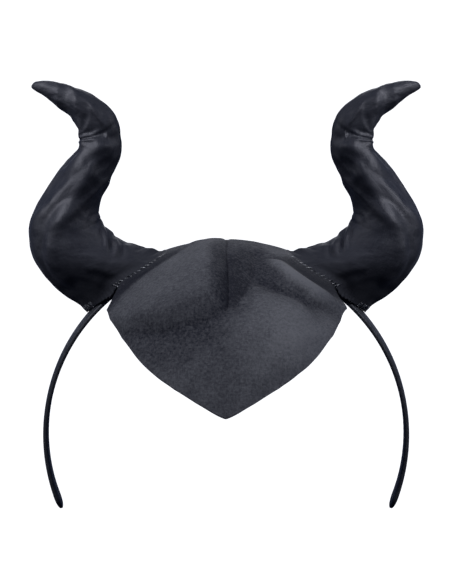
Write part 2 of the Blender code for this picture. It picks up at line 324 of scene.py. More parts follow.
# Forehead panel
# One cut of charcoal craft felt, raw at its edges. It lies over the band and runs down to a point.
# A dart taken in at the crown and the pull of the two horns fold it into soft facets.

SEAM_GAP = 0.3 * MM
PANEL_THICKNESS = 1.8 * MM
PANEL_CLEARANCE = 0.1 * MM
PANEL_REACH = 99.0 * MM
PANEL_TOP_HALF_WIDTH = 38.0 * MM
PANEL_CORNER_HALF_WIDTH = 50.5 * MM
PANEL_BACK_INSET = 0.6 * MM
PANEL_ROWS = 170
PANEL_COLUMNS = 220
FELT_SEED = 11
FELT_UNEVENNESS = (0.10 * MM, 14, 420.0)
FELT_EVEN_AT_BACK = (0.1, 0.3)
FELT_SHADES = ((0.0098, 0.0108, 0.0180), (0.1320, 0.1345, 0.1490))
HORN_SPACING = 84.4 * MM
HORN_SEAT_BACK = 4.4 * MM
HORN_SEAT_SKEW = np.radians(9.0)
HORN_HEM_LENGTH = 41.2 * MM
HORN_HEM_WIDTH = 27.0 * MM

# Where the felt stays flat: from and to these shares of a horn's hem, and of the back edge
FLAT_UNDER_HORN = (1.40, 1.62)
FLAT_OVER_BAND = (1.3, 2.4)

PANEL_LOWER_EDGE = np.array((
    # across, down
    (0.000, 1.000),
    (0.220, 0.940),
    (0.410, 0.875),
    (0.550, 0.815),
    (0.700, 0.725),
    (0.850, 0.590),
    (0.945, 0.460),
    (1.000, 0.355),
))

# Where the felt is held up or drawn in, in millimetres over its resting place on the head.
# across runs to the wearer's left and down runs over the forehead. Between them it is flat.
# The last column is over 0 where light is painted on and the felt is paler, and under 0 where shade is
# painted on, along valleys and beside the horns' hems, and it is darker.
FELT_POINTS = {
    # name: (across, down, height, painted shading)
    "dart top": (0.0, -6.0, 0.4, -0.3), "dart middle": (0.0, 25.0, 0.8, -1.1),
    "dart end": (0.5, 51.5, 0.2, -1.1), "strip top": (-4.0, -6.0, 0.8, 0.3),
    "strip middle": (-5.2, 24.0, 3.8, -0.9), "strip end": (-5.0, 45.0, 5.8, -0.8),
    "puff top": (-6.5, -6.0, 0.9, 0.3), "puff middle": (-7.5, 24.0, 4.8, 0.4),
    "puff end": (-8.0, 46.5, 7.0, 0.1), "valley top": (13.0, -2.0, 0.0, -0.6),
    "valley middle": (11.0, 31.0, -3.6, -1.1), "valley end": (4.0, 51.0, -1.4, -0.8),
    "valley far": (21.0, 38.0, -2.6, -1.0), "valley tail": (31.0, 42.6, -0.8, -0.7),
    "valley side": (15.5, 16.0, -0.8, -0.9), "light corner": (19.5, 8.0, 0.6, 0.5),
    "roll a": (20.0, 21.6, 2.8, 1.9), "roll b": (26.5, 30.0, 4.6, 2.8), "roll c": (35.5, 35.2, 4.6, 2.6),
    "roll d": (44.5, 36.6, 3.0, 1.7), "roll e": (53.0, 33.0, 1.8, 0.6),
    "roll foot a": (26.5, 34.2, 1.7, -0.3), "roll foot b": (37.5, 39.8, 1.5, -0.3),
    "hem a": (23.0, 15.5, 0.0, -1.2), "hem b": (33.5, 25.0, 0.0, -1.9), "hem c": (47.0, 30.0, 0.0, -1.7),
    "under roll": (50.0, 41.0, 0.0, -0.3), "swell top": (14.5, 46.5, 0.6, 0.7),
    "swell rim": (30.0, 48.2, 2.0, 0.9), "swell a": (10.0, 60.0, 1.8, 0.5), "swell b": (27.0, 66.0, 5.0, 1.5),
    "swell c": (29.0, 75.0, 4.2, 1.4), "swell d": (40.0, 58.0, 2.8, 1.2), "swell e": (15.0, 80.0, 2.6, 0.6),
    "crease a": (-22.0, 52.5, 6.4, 0.1), "crease b": (-41.0, 49.5, 3.0, 0.2),
    "crease c": (-52.0, 42.0, 0.8, 0.3), "facet middle": (-24.0, 33.0, 2.4, 0.5),
    "facet high": (-16.0, 16.0, 1.2, 0.4), "fall a": (-7.0, 59.0, 0.4, -0.9),
    "fall b": (-25.0, 61.5, 0.3, -0.9), "fall c": (-42.0, 56.5, 0.0, -0.8),
    "rest a": (-23.0, 10.0, 0.0, -1.5), "rest b": (-36.0, 20.5, -0.5, -1.9),
    "rest c": (-50.0, 33.0, 0.0, -1.7), "shade a": (-20.4, 13.4, 0.4, 0.3),
    "shade b": (-33.4, 25.0, 1.0, 0.3), "shade c": (-46.6, 37.0, 1.0, 0.3),
    "top right": (-40.0, -8.0, 0.0, 0.0), "top left": (40.0, -8.0, 0.0, 0.0),
    "low a": (-30.0, 82.0, 0.8, 0.0), "low b": (30.0, 84.0, 1.2, 0.5), "middle": (0.0, 76.0, 0.9, -0.1),
    "point": (0.0, 103.0, 0.0, 0.3), "far right": (-62.0, 60.0, 0.0, 0.0), "far left": (62.0, 60.0, 0.0, 0.5),
}

# Folds along which two flats of the felt meet
FELT_CREASES = (
    ("dart top", "dart middle", "dart end"),
    ("strip top", "strip middle", "strip end"),
    ("puff top", "puff middle", "puff end", "crease a", "crease b", "crease c"),
    ("valley top", "valley middle", "valley end"),
    ("roll a", "roll b", "roll c", "roll d", "roll e"),
    ("valley side", "roll foot a", "roll foot b", "under roll"),
    ("hem a", "hem b", "hem c"),
    ("valley middle", "valley far", "valley tail", "under roll"),
    ("fall a", "fall b", "fall c"),
    ("swell a", "swell b", "swell c", "swell e"),
)
CREASE_ROUNDING = 8

# The dart's groove: its half width, depth and steepness, and the width and depth of the shade painted along
# it
DART_GROOVE = (0.8 * MM, 1.9 * MM, 1.4)
DART_PAINTED_SHADE = (0.55 * MM, 1.8)


def band_top():
    """What lies on the band has its underside here."""
    return BAND_THICKNESS + SEAM_GAP


def table_curve(rows, position):
    """A smooth curve through a table's rows, read at positions counted in rows: cubics that join at the rows,
    where the slope is half the step from the row before to the row after."""
    last = len(rows) - 1
    index = np.clip(position.astype(int), 0, last - 1)
    t = (position - index)[..., None]
    before, here, there = rows[np.maximum(index - 1, 0)], rows[index], rows[index + 1]
    after = rows[np.minimum(index + 2, last)]
    bend = (2.0 * before - 5.0 * here + 4.0 * there - after) * t**2
    twist = (3.0 * here - before - 3.0 * there + after) * t**3
    return 0.5 * (2.0 * here + (there - before) * t + bend + twist)


def lower_edge(across):
    """How far down the lower edge lies, at a share of the corner's half width: a curve through its table."""
    size = np.abs(across)
    position = np.interp(size, PANEL_LOWER_EDGE[:, 0], np.arange(len(PANEL_LOWER_EDGE)))
    return table_curve(PANEL_LOWER_EDGE, position)[..., 1]


def panel_angles():
    """The panel's sizes as angles: its back edge, top and corner half widths, and reach."""
    across_size, fore_size, _ = HEAD + band_top()
    back = -(0.5 * BAND_WIDTH - PANEL_BACK_INSET) / fore_size
    top = PANEL_TOP_HALF_WIDTH / across_size
    return back, top, PANEL_CORNER_HALF_WIDTH / across_size, PANEL_REACH / fore_size


def horn_seat():
    """The middle of a horn's seat and its half length and half width, all as angles."""
    size = HEAD[0] + band_top()
    across = np.arcsin(0.5 * HORN_SPACING / size)
    fore_size = (HEAD[1] + band_top()) * np.cos(across)
    return across, -HORN_SEAT_BACK / fore_size, 0.5 * HORN_HEM_LENGTH / size, 0.5 * HORN_HEM_WIDTH / fore_size


def between_points(across, down):
    """Heights and painted light and shade on flat triangles that join the felt's points and keep to its
    creases: the mean of the three corners, each weighted by the area opposite it."""
    names = list(FELT_POINTS)
    places = [Vector(point[:2]) for point in FELT_POINTS.values()]
    edges = [(names.index(a), names.index(b)) for run in FELT_CREASES for a, b in zip(run, run[1:])]
    corners, _, triangles, *_ = delaunay_2d_cdt(places, edges, [], 0, 1e-4)
    known = np.array(list(FELT_POINTS.values()))
    corners = np.array([tuple(corner) for corner in corners])
    nearest = np.argmin(np.linalg.norm(corners[:, None] - known[None, :, :2], axis=-1), axis=1)
    found = np.zeros((*across.shape, 2))
    for triangle in triangles:
        (ax, ay), (bx, by), (cx, cy) = corners[list(triangle)]
        whole = (bx - ax) * (cy - ay) - (cx - ax) * (by - ay)
        one = ((bx - across) * (cy - down) - (cx - across) * (by - down)) / whole
        two = ((cx - across) * (ay - down) - (ax - across) * (cy - down)) / whole
        weights = np.stack((one, two, 1.0 - one - two), axis=-1)
        inside = np.all(weights >= -1e-6, axis=-1)[..., None]
        found = np.where(inside, weights @ known[nearest[list(triangle)], 2:], found)
    return found


def fold_lift(across, fore):
    """The felt's flats, with creases rounded by averaging neighbours, and a groove for the dart. It stays
    flat on the band and under the horns. It also gives the light and shade to paint on the felt, rounded the
    same way."""
    found = between_points(across * (HEAD[0] + band_top()) / MM, fore * (HEAD[1] + band_top()) / MM)
    for _ in range(CREASE_ROUNDING):
        wide = np.pad(found, ((1, 1), (1, 1), (0, 0)), mode="edge")
        found = 0.25 * (wide[1:-1, :-2] + wide[1:-1, 2:] + wide[:-2, 1:-1] + wide[2:, 1:-1])
    lift, nap = found[..., 0] * MM, found[..., 1]
    width, depth, steepness = DART_GROOVE
    past = np.maximum(0.0, fore - FELT_POINTS["dart end"][1] * MM / HEAD[1]) * HEAD[1]
    away = np.hypot(across * HEAD[0], past)
    lift = lift - depth * np.exp(-((away / width) ** steepness))
    # Shade painted along the dart's groove
    nap = nap - DART_PAINTED_SHADE[1] * np.exp(-((away / DART_PAINTED_SHADE[0]) ** 2))
    seat_across, seat_fore, half_length, half_width = horn_seat()
    ring = np.hypot((np.abs(across) - seat_across) / half_length, (fore - seat_fore) / half_width)
    lift = lift * smooth_step(*FLAT_UNDER_HORN, ring)
    return lift * np.where(lift < 0.0, smooth_step(*FLAT_OVER_BAND, -fore / panel_angles()[0]), 1.0), nap


def panel_points():
    """The cut's upper face laid over the head: columns from side to side, rows from back to lower edge."""
    back, top, corner, reach = panel_angles()
    down = np.linspace(0.0, 1.0, PANEL_ROWS)[:, None]
    signed = np.linspace(-1.0, 1.0, PANEL_COLUMNS)[None, :]
    across = signed * (top + (corner - top) * down)
    fore = back + (lower_edge(signed) * reach - back) * down
    across, fore = np.broadcast_arrays(across, fore)
    lift, nap = fold_lift(across, fore)
    uneven = ripple(FELT_SEED, FELT_UNEVENNESS, across * HEAD[0], fore * HEAD[1])
    height = band_top() + PANEL_THICKNESS + lift + uneven * smooth_step(*FELT_EVEN_AT_BACK, down)
    return on_head(across, fore, height), nap


def felt_finish():
    """Charcoal felt: matted fibres of mixed greys, a fine uneven grain, a faint sheen, and light and shade
    painted into its colour along its folds.
    """
    finish = Finish("charcoal_felt", Sheen_Weight=0.05, Sheen_Roughness=0.6, Specular_IOR_Level=0.12)
    where = finish.place()
    grain = finish.noise(where, 820.0, detail=6.0, roughness=0.75)
    strands = finish.noise(finish.place(stretch=(1.0, 1.0, 0.16), turn=(0.5, 0.4, 0.6)), 1900.0, detail=2.0)
    crossed = finish.noise(finish.place(stretch=(0.18, 1.0, 1.0), turn=(0.2, 0.9, 0.3)), 1900.0, detail=2.0)
    cloud = finish.noise(where, 120.0, detail=3.0)
    fibre = strands.math("MAXIMUM", crossed)
    tone = finish.ramp(grain * 0.60 + fibre * 0.30 + cloud * 0.16, (0.44, 0.0), (0.66, 1.0))
    # Painted light and shade: paler on the felt's lit folds, darker in its valleys and beside the horns'
    # hems.
    painted_light_share = finish.node("ShaderNodeAttribute", {"attribute_name": "nap"}, {}, output="Fac")
    tone = tone * 0.52 + painted_light_share * 0.33 + 0.17
    finish.wire(Base_Color=finish.mix(tone, *FELT_SHADES))
    finish.wire(Roughness=0.84 + grain * 0.14)
    matted = finish.relief(cloud, 0.0006)
    finish.wire(Normal=finish.relief(grain * 0.6 + fibre * 0.4, 0.00035, below=matted))
    return finish.material


felt = felt_finish()
felt_face, nap = panel_points()
faces = grid_faces(*felt_face.shape[:2], around=False)
panel = make_piece("felt_panel", felt_face, faces, felt, closed=False)
# The light and shade painted on the felt, kept on its points
panel.data.attributes.new("nap", "FLOAT", "POINT").data.foreach_set("value", nap.ravel())
wall = panel.modifiers.new("thickness", "SOLIDIFY")
wall.thickness = PANEL_THICKNESS - PANEL_CLEARANCE
wall.offset = -1.0
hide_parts("front_panel")


# Horns
# Two tapered tubes of black satin filled tight with wadding, bent forward, out and up to a point.
# Each is cut front and back and joined along its outline, and its cloth folds inside each bend.

HORN_REACH = 40.3 * MM
HORN_RISE = 83.2 * MM
HORN_HALF_DEPTH = 15.2 * MM
HORN_BOW = 3.0 * MM
HORN_STANDS_BACK = np.radians(7.0)
HORN_HEM_POINT = 0.65
HORN_SEAM_PINCH = 0.12
HORN_LENGTH = 114.8 * MM
HORN_WAY_STEPS = 400
HORN_SEED = 5
HORN_SINK = (3.0 * MM, 8.0 * MM)
HEM_FADE_ROWS = 2.6
POINT_FADE_ROWS = 4.0
HORN_LOOPS = 190
HORN_SIDES = 216
HORN_FLOOR_RINGS = 10
STUFFED_LOOPS = 96
STUFFED_SIDES = 72
STUFFING_FRAMES = 20
STUFFING_PRESSURE = 4.0
STUFFING_SLACK = -0.03
STUFFING_CAP = 2.5 * MM
STUFFING_EASE = 5
CLOTH_MASS = 0.1
CLOTH_STRETCH = 25.0
CLOTH_SHEAR = 10.0
CLOTH_BENDING = 0.15
CLOTH_RADIUS = 12.0 * MM
CLOTH_AT_TIP = 1.4
TIP_CALM = 0.6
TIP_CALM_SPAN = (0.66, 0.90)
TIP_ROUNDING = 0.5
HEM_STITCHES = 72
HEM_SPREAD = 1.3 * MM
HEM_FRONT_SPREAD = 2.6 * MM
HEM_FRONT = np.radians(60.0)
HEM_SPREAD_HEIGHT = 5.6 * MM
HEM_SCALLOP = 0.14
# How far up from the hem shade is painted on the satin and it is rougher
HEM_SHADE_AND_DULL_REACH = 22.0 * MM
HORN_SHADES = ((0.0036, 0.0046, 0.0082), (0.0220, 0.0230, 0.0305))
BOTH_HORNS = (("horn_left", 1.0), ("horn_right", -1.0))

# Ripples: how much, how many waves, and the finest in radians a metre. A roll's wandering is in
# degrees, its unevenness is a share of its height, and the others are in millimetres.
ROLL_WANDER = (4.0, 5, 330.0)
ROLL_UNEVENNESS = (0.4, 5, 500.0)
SATIN_CRUMPLE = (0.06, 26, 1500.0)
SATIN_SLACK = (0.12, 12, 620.0)

# Spans over which the folds start and end, as shares of the way from hem to tip. A roll's are
# counted from its own first and last place.
ROLL_START = (-0.06, 0.06)
ROLL_END = (-0.05, 0.01)
FOLDS_START = (0.0, 0.06)
FOLDS_END = (0.93, 1.0)
GROOVE_START = (0.0, 0.03)
CREASE_STEEPNESS = 1.5
HORN_SEAM_GROOVE = (1.1 * MM, 0.32)

# Sections of a horn from its hem to its tip, whose outer and inner edges are the two seams.
# x is a share of the reach and z of the rise. depth and bow are shares too.
HORN_SECTIONS = np.array((
    # outer_x, outer_z, inner_x, inner_z, depth, bow
    (0.462, -0.139, -0.442, 0.108, 1.000, 0.00),
    (0.675, -0.072, -0.303, 0.135, 1.030, 0.10),
    (0.846, 0.020, -0.112, 0.171, 1.050, 0.22),
    (0.963, 0.115, 0.060, 0.208, 1.030, 0.35),
    (1.000, 0.217, 0.208, 0.274, 0.970, 0.50),
    (0.963, 0.321, 0.261, 0.331, 0.890, 0.65),
    (0.814, 0.456, 0.250, 0.389, 0.745, 0.85),
    (0.610, 0.593, 0.153, 0.492, 0.660, 1.00),
    (0.494, 0.664, 0.060, 0.612, 0.595, 1.00),
    (0.477, 0.705, 0.047, 0.716, 0.570, 0.90),
    (0.494, 0.746, 0.112, 0.829, 0.540, 0.70),
    (0.569, 0.809, 0.313, 0.918, 0.460, 0.35),
    (0.717, 0.868, 0.558, 0.970, 0.355, -0.05),
    (0.856, 0.918, 0.782, 1.000, 0.240, -0.50),
    (0.951, 0.944, 0.929, 0.996, 0.130, -0.85),
    (0.986, 0.958, 0.973, 0.985, 0.060, -0.95),
))

# Long rolls of the satin. Each runs through places, along as shares of the way from hem to tip
# and around in degrees from the inner seam, 90 at the front. Width and height are millimetres.
LONG_ROLLS = (
    # name, along, around, width, height
    ("outer roll", (0.16, 0.31, 0.39, 0.48, 0.56, 0.60), (152, 144, 124, 124, 148, 156), 3.4, 0.80),
    ("inner roll", (0.10, 0.20, 0.32, 0.40, 0.48, 0.58, 0.60), (138, 122, 97, 84, 85, 92, 96), 4.0, 1.05),
    ("furrow", (0.12, 0.20, 0.32, 0.40, 0.48, 0.57, 0.60), (150, 137, 118, 103, 104, 120, 126), 2.3, -0.65),
    ("inner flat", (0.18, 0.30, 0.40, 0.50, 0.60, 0.66), (62, 52, 46, 44, 44, 44), 5.5, -0.85),
    ("outer flat", (0.24, 0.34, 0.42, 0.50, 0.58, 0.60), (168, 164, 158, 158, 168, 170), 2.6, -0.45),
    ("back roll", (0.16, 0.30, 0.42, 0.54, 0.62, 0.70), (240, 252, 262, 256, 250, 244), 3.2, 0.60),
    ("back furrow", (0.18, 0.30, 0.42, 0.54, 0.62, 0.70), (268, 280, 292, 284, 276, 270), 2.0, -0.55),
)

# Short creases across the satin. Angle is 0 along the horn and 90 round it, and length, width
# and height are millimetres, negative where the crease goes in.
CROSS_CREASES = (
    # name, along, around, angle, length, width, height
    ("pinch a", 0.050, 12, 88, 6.0, 0.9, -0.55),
    ("pinch b", 0.078, 10, 84, 7.0, 1.0, 0.45),
    ("pinch c", 0.104, 8, 80, 6.0, 0.9, -0.40),
    ("base pucker a", 0.146, 36, 126, 5.5, 0.9, -1.00),
    ("base ridge a", 0.168, 38, 128, 6.5, 1.0, 1.25),
    ("base pucker b", 0.192, 37, 132, 6.5, 0.9, -1.20),
    ("base ridge b", 0.216, 38, 136, 7.0, 1.0, 1.25),
    ("base pucker c", 0.241, 34, 138, 6.5, 0.9, -1.00),
    ("base pucker d", 0.290, 20, 104, 9.0, 1.2, -0.70),
    ("base pucker e", 0.335, 8, 96, 6.0, 1.2, -0.40),
    ("neck crease", 0.607, 136, 106, 11.5, 0.75, -1.25),
    ("neck lip", 0.588, 128, 106, 8.5, 1.1, 0.75),
    ("neck hollow", 0.640, 132, 100, 9.0, 1.8, -0.55),
    ("bend ridge a", 0.690, 104, 134, 11.0, 1.8, 0.80),
    ("bend hollow a", 0.718, 84, 130, 9.0, 2.0, -0.45),
    ("bend ridge b", 0.748, 108, 128, 11.0, 1.8, 0.80),
    ("bend hollow b", 0.782, 112, 122, 9.0, 1.9, -0.40),
    ("bend ridge c", 0.815, 122, 114, 8.0, 1.8, 0.60),
    ("back neck crease", 0.612, 228, 74, 11.0, 0.9, -1.00),
    ("back neck lip", 0.590, 234, 74, 9.0, 1.2, 0.60),
    ("back bend hollow", 0.690, 250, 80, 10.0, 1.6, -0.55),
    ("back bend ridge", 0.735, 262, 84, 11.0, 1.4, 0.50),
    ("back pucker a", 0.170, 340, 94, 7.0, 1.0, -0.80),
    ("back pucker b", 0.215, 342, 90, 8.0, 1.0, -0.85),
    ("back pucker c", 0.262, 344, 86, 8.0, 1.0, -0.75),
)


def panel_top():
    """A horn that lies on the panel has its underside here."""
    return band_top() + PANEL_THICKNESS + SEAM_GAP


def horn_floor(across, fore):
    """The height of a horn's underside: over the panel and just past it, and sunk to the band beyond."""
    back, top, corner, reach = panel_angles()
    down = (fore - back) / (PANEL_LOWER_EDGE[-1, 1] * reach - back)
    beside = across - (top + (corner - top) * down)
    away = HEAD[1] * np.maximum(beside, back - fore)
    return panel_top() + (band_top() - panel_top()) * smooth_step(*HORN_SINK, away)


def hem_place(turn, share):
    """A skewed oval pointed at its inner end, as angles on the head. share is 1 on the hem and 0 inside."""
    across, fore, half_length, half_width = horn_seat()
    point = np.where(np.cos(turn) > 0.0, np.abs(np.sin(turn)) ** HORN_HEM_POINT, 1.0)
    inwards = half_length * np.cos(turn) * share
    skewed = inwards * np.tan(HORN_SEAT_SKEW)
    return across - inwards, fore + half_width * np.sin(turn) * point * share + skewed


def hem_point(turn, share):
    """A place on the horn's underside: the skewed oval laid on the head, at the height of what lies below."""
    across, fore = hem_place(turn, share)
    return on_head(across, fore, horn_floor(across, fore))


def horn_edges(position):
    """A section's middle, half width from outer to inner seam, depth, and the horn's forward direction."""
    outer_x, outer_z, inner_x, inner_z, depth, bow = np.moveaxis(table_curve(HORN_SECTIONS, position), -1, 0)
    side = np.array((1.0, 0.0, 0.0))
    up = np.array((0.0, np.sin(HORN_STANDS_BACK), np.cos(HORN_STANDS_BACK)))
    front = np.array((0.0, -np.cos(HORN_STANDS_BACK), np.sin(HORN_STANDS_BACK)))
    outer = (outer_x * HORN_REACH)[..., None] * side + (outer_z * HORN_RISE)[..., None] * up
    inner = (inner_x * HORN_REACH)[..., None] * side + (inner_z * HORN_RISE)[..., None] * up
    middle = 0.5 * (outer + inner) + (bow * HORN_BOW)[..., None] * front
    return middle, 0.5 * (inner - outer), depth * HORN_HALF_DEPTH, front


def horn_section(position, turn):
    """A flattened round between the two seams, pinched at them, pointed near the hem's inner end."""
    middle, half, depth, front = horn_edges(position)
    point = HORN_HEM_POINT * (1.0 - smooth_step(0.0, POINT_FADE_ROWS, position))
    pinch = HORN_SEAM_PINCH + point * np.maximum(0.0, np.cos(turn))
    swell = depth * np.sin(turn) * np.abs(np.sin(turn)) ** pinch
    return middle + half * np.cos(turn)[..., None] + swell[..., None] * front


def horn_base(position, turn):
    """The horn without its folds: its sections, pulled to the hem near the seat."""
    across, fore, _, _ = horn_seat()
    seat = on_head(across, fore, band_top())
    pull = (1.0 - smooth_step(0.0, HEM_FADE_ROWS, position))[..., None]
    first = seat + horn_section(np.zeros_like(position), turn)
    return seat + horn_section(position, turn) + (hem_point(turn, 1.0) - first) * pull


def round_distance(degrees, middle, girth):
    """How far round the horn a place lies from a middle, the short way, as a length."""
    return ((degrees - middle + 180.0) % 360.0 - 180.0) / 360.0 * girth


def satin_lift(position, turn, girth, seed):
    """The folds added up: bells across the long rolls, bells along and across the creases, a groove at the
    two seams, and fine ripples."""
    along = position / (len(HORN_SECTIONS) - 1)
    degrees = np.degrees(turn)
    lift = np.zeros_like(along)
    for _, alongs, arounds, width, height in LONG_ROLLS:
        own_seed = int(100.0 * width)
        wander = ripple(own_seed, ROLL_WANDER, along * HORN_LENGTH)
        uneven = 1.0 + ripple(own_seed + 1, ROLL_UNEVENNESS, along * HORN_LENGTH)
        off = round_distance(degrees + wander, np.interp(along, alongs, arounds), girth)
        ends = smooth_step(*ROLL_START, along - alongs[0])
        ends = ends * (1.0 - smooth_step(*ROLL_END, along - alongs[-1]))
        lift += height * uneven * ends * np.exp(-((off / (width * MM)) ** 2))
    for _, at, around, angle, length, width, height in CROSS_CREASES:
        up = (along - at) * HORN_LENGTH
        off = round_distance(degrees, around, girth)
        lean = np.radians(angle)
        line = up * np.cos(lean) + off * np.sin(lean)
        across = off * np.cos(lean) - up * np.sin(lean)
        bell = (line / (length * MM)) ** 2 + np.abs(across / (width * MM)) ** CREASE_STEEPNESS
        lift += height * np.exp(-bell)
    around = degrees / 360.0 * girth
    crumple = ripple(seed, SATIN_CRUMPLE, along * HORN_LENGTH, around)
    slack = ripple(seed + 1, SATIN_SLACK, along * HORN_LENGTH, around)
    width, depth = HORN_SEAM_GROOVE
    groove = -depth * np.exp(-((np.sin(turn) * girth / FULL_TURN / width) ** 2))
    free = smooth_step(*FOLDS_START, along) * (1.0 - smooth_step(*FOLDS_END, along))
    return ((lift + crumple + slack) * free + groove * smooth_step(*GROOVE_START, along)) * MM


def horn_grid(loops, sides):
    """Places on the horn at even steps from hem to tip and round it, and the lengths from the hem."""
    steps = np.linspace(0.0, len(HORN_SECTIONS) - 1.0, HORN_WAY_STEPS)
    middle = horn_edges(steps)[0]
    way = np.concatenate(((0.0,), np.cumsum(np.linalg.norm(np.diff(middle, axis=0), axis=1))))
    position = np.interp(np.linspace(0.0, way[-1], loops), way, steps)[:, None]
    turn = FULL_TURN * np.arange(sides)[None, :] / sides
    return *np.broadcast_arrays(position, turn), way[-1] * np.linspace(0.0, 1.0, loops)


def stuffing():
    """How far the wadding moves a coarse skin: cloth under even pressure, held at its hem, seams and tip."""
    position, turn, _ = horn_grid(STUFFED_LOOPS, STUFFED_SIDES)
    start = horn_base(position, turn)
    ends = np.stack((start[0].mean(axis=0), start[-1].mean(axis=0)))
    count = start.shape[0] * start.shape[1]
    rims = np.arange(STUFFED_SIDES)
    first = np.stack((np.roll(rims, -1), rims, np.full_like(rims, count)), axis=-1)
    top = rims + count - STUFFED_SIDES
    last = np.stack((top, np.roll(top, -1), np.full_like(rims, count + 1)), axis=-1)
    places = np.concatenate((start.reshape(-1, 3), ends)).tolist()
    squares = grid_faces(*start.shape[:2], around=True).tolist()
    mesh = bpy.data.meshes.new("stuffing")
    mesh.from_pydata(places, [], squares + first.tolist() + last.tolist())
    form = bmesh.new()
    form.from_mesh(mesh)
    bmesh.ops.recalc_face_normals(form, faces=form.faces)
    form.to_mesh(mesh)
    form.free()
    bag = placed("stuffing", mesh)
    held = np.zeros((STUFFED_LOOPS, STUFFED_SIDES), dtype=bool)
    held[0], held[-3:] = True, True
    held[:, [0, STUFFED_SIDES // 2]] = True
    pins = bag.vertex_groups.new(name="held")
    pins.add([*np.flatnonzero(held.ravel()).tolist(), count, count + 1], 1.0, "REPLACE")
    settings = bag.modifiers.new("cloth", "CLOTH").settings
    settings.vertex_group_mass = "held"
    settings.use_pressure = True
    settings.uniform_pressure_force = STUFFING_PRESSURE
    settings.shrink_min = STUFFING_SLACK
    settings.mass = CLOTH_MASS
    settings.tension_stiffness = CLOTH_STRETCH
    settings.compression_stiffness = CLOTH_STRETCH
    settings.shear_stiffness = CLOTH_SHEAR
    settings.bending_stiffness = CLOTH_BENDING
    settings.effector_weights.gravity = 0.0
    for frame_number in range(1, STUFFING_FRAMES + 1):
        bpy.context.scene.frame_set(frame_number)
    blown = np.zeros((count + 2) * 3)
    shown = bag.evaluated_get(bpy.context.evaluated_depsgraph_get()).to_mesh()
    shown.vertices.foreach_get("co", blown)
    bpy.data.objects.remove(bag)
    bpy.context.scene.frame_set(1)
    moved = blown.reshape(-1, 3)[:count].reshape(start.shape) - start
    size = np.linalg.norm(moved, axis=-1, keepdims=True)
    return moved * np.minimum(1.0, STUFFING_CAP / np.maximum(size, 1e-9))


def read_grid(grid, row, side):
    """A grid that closes round, read between its rows and sides: the four nearest, weighted by closeness."""
    low = np.clip(np.floor(row).astype(int), 0, grid.shape[0] - 2)
    left = np.floor(side).astype(int)
    up, past = (row - low)[..., None], (side - left)[..., None]
    here, there = left % grid.shape[1], (left + 1) % grid.shape[1]
    near = grid[low, here] * (1.0 - past) + grid[low, there] * past
    far = grid[low + 1, here] * (1.0 - past) + grid[low + 1, there] * past
    return near * (1.0 - up) + far * up


def hem_spread(turn):
    """How far the hem is turned out over the seat: most at the front, towards the forehead's middle."""
    return HEM_SPREAD + HEM_FRONT_SPREAD * np.maximum(0.0, np.cos(turn - HEM_FRONT))


def rim_share(turn, beyond):
    """The share of the oval that lies past the hem by a length."""
    return 1.0 + beyond / np.linalg.norm(hem_point(turn, 1.0) - hem_point(turn, 0.0), axis=-1)


def horn_points(seed, moved):
    """A horn's whole skin: rings of its floor, then sections at even steps from hem to tip, moved out by the
    stuffing and the folds. Its UV is the turn times a radius, and the length from the hem."""
    position, turn, way = horn_grid(HORN_LOOPS, HORN_SIDES)
    once = turn[:1]
    row = np.linspace(0.0, moved.shape[0] - 1.0, HORN_LOOPS)[:, None]
    pushed = read_grid(moved, row, turn / FULL_TURN * moved.shape[1])
    for _ in range(STUFFING_EASE):
        wide = np.pad(pushed, ((1, 1), (0, 0), (0, 0)), mode="edge")
        pushed = 0.25 * (wide[:-2] + wide[2:] + np.roll(pushed, 1, axis=1) + np.roll(pushed, -1, axis=1))
    calm = 1.0 - TIP_CALM * smooth_step(*TIP_CALM_SPAN, way / way[-1])
    skin = horn_base(position, turn) + pushed * calm[:, None, None]
    ring = np.linalg.norm(np.roll(skin, -1, axis=1) - skin, axis=-1)
    girth = np.broadcast_to(ring.sum(axis=1, keepdims=True), position.shape)
    along_way = np.gradient(skin, axis=0)
    around_way = np.roll(skin, -1, axis=1) - np.roll(skin, 1, axis=1)
    normal = np.cross(along_way, around_way)
    normal /= np.linalg.norm(normal, axis=-1, keepdims=True) + 1e-12
    outward = np.sign(np.sum(normal * (skin - skin.mean(axis=1, keepdims=True)), axis=-1, keepdims=True))
    skin = skin + normal * outward * satin_lift(position, turn, girth, seed)[..., None]
    hem = hem_point(once, 1.0)
    spread = hem_spread(once) * (1.0 - HEM_SCALLOP * np.cos(HEM_STITCHES * once))
    turned_out = np.clip(1.0 - way / HEM_SPREAD_HEIGHT, 0.0, 1.0)[:, None, None] ** 2
    skin = skin + (hem_point(once, rim_share(once, spread)) - hem) * turned_out
    share = np.arange(HORN_FLOOR_RINGS)[:, None] / HORN_FLOOR_RINGS
    floor = hem_point(once, share) + (skin[:1] - hem) * share[..., None]
    end, before = skin[-1].mean(axis=0), skin[-2].mean(axis=0)
    tip = np.broadcast_to(end + TIP_ROUNDING * (end - before), skin[-1:].shape)
    run = np.concatenate((CLOTH_RADIUS * (share[:, 0] - 1.0), way, way[-1:] + MM))
    size = np.minimum(CLOTH_RADIUS, CLOTH_AT_TIP * girth[:, :1] / FULL_TURN)
    size = np.pad(size, ((HORN_FLOOR_RINGS, 1), (0, 0)), mode="edge")
    cloth = np.stack(np.broadcast_arrays(once * size, run[:, None]), axis=-1)
    return np.concatenate((floor, skin, tip)), cloth


horn_satin = satin_finish("black_satin", HORN_SHADES, HEM_SHADE_AND_DULL_REACH)
moved = stuffing()
horns = {}
horn_grid_points, cloth = horn_points(HORN_SEED, moved)
for name, side in BOTH_HORNS:
    points = horn_grid_points * np.array((side, 1.0, 1.0))
    faces = grid_faces(*points.shape[:2], around=True)
    horn = make_piece(name + "_satin", points, faces, horn_satin, cloth)
    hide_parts(name)
    horns[name] = horn


# Stitches
# Shiny black thread holds each horn down with close overhand stitches round its hem, through the
# felt, and closes the dart with small ones along its groove.

